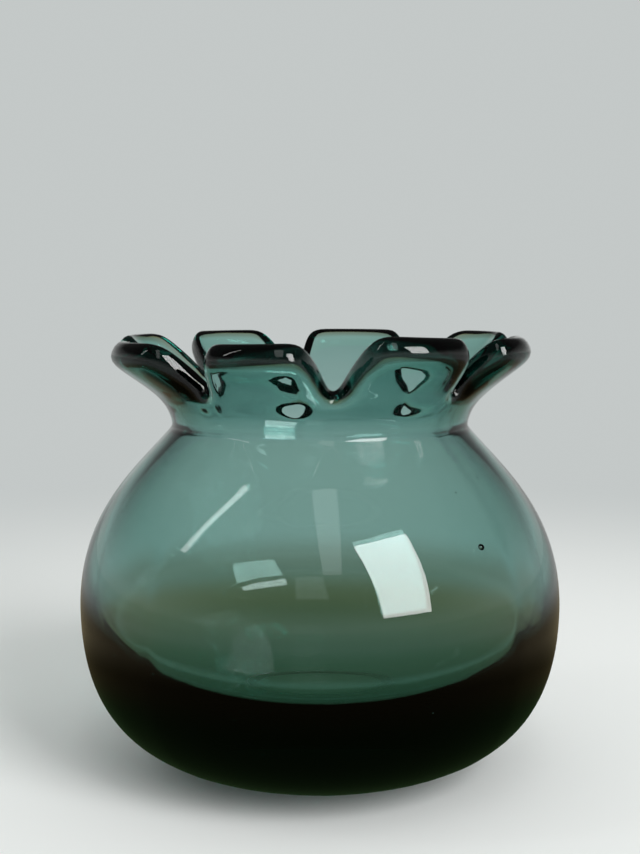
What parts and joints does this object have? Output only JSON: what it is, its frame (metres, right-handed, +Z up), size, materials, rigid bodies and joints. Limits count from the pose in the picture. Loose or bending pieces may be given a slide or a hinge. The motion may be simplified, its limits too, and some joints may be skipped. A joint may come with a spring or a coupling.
{
  "type": "glass vase",
  "caption": "Heavy hand-blown posy vase of teal glass: a ball belly over a thick solid base, a necked collar and a lip sheared into folded-out petals.",
  "frame": {"origin": "middle of the flat foot, on the surface that the vase stands on", "axes": "+Z up along the vase's axis of turning, -Y towards the front, where a cut in the lip faces the viewer, +X to the viewer's right"},
  "size_m": [0.1432, 0.1432, 0.1285],
  "materials": {
    "teal_glass": "fire-polished, clear and glossy"
  },
  "bodies": {
    "root": {"heavy_base": "teal_glass", "bowl_wall": "teal_glass", "neck_collar": "teal_glass", "petal_1": "teal_glass", "petal_2": "teal_glass", "petal_3": "teal_glass", "petal_4": "teal_glass", "petal_5": "teal_glass", "petal_6": "teal_glass", "petal_7": "teal_glass", "petal_8": "teal_glass"}
  },
  "joints": []
}
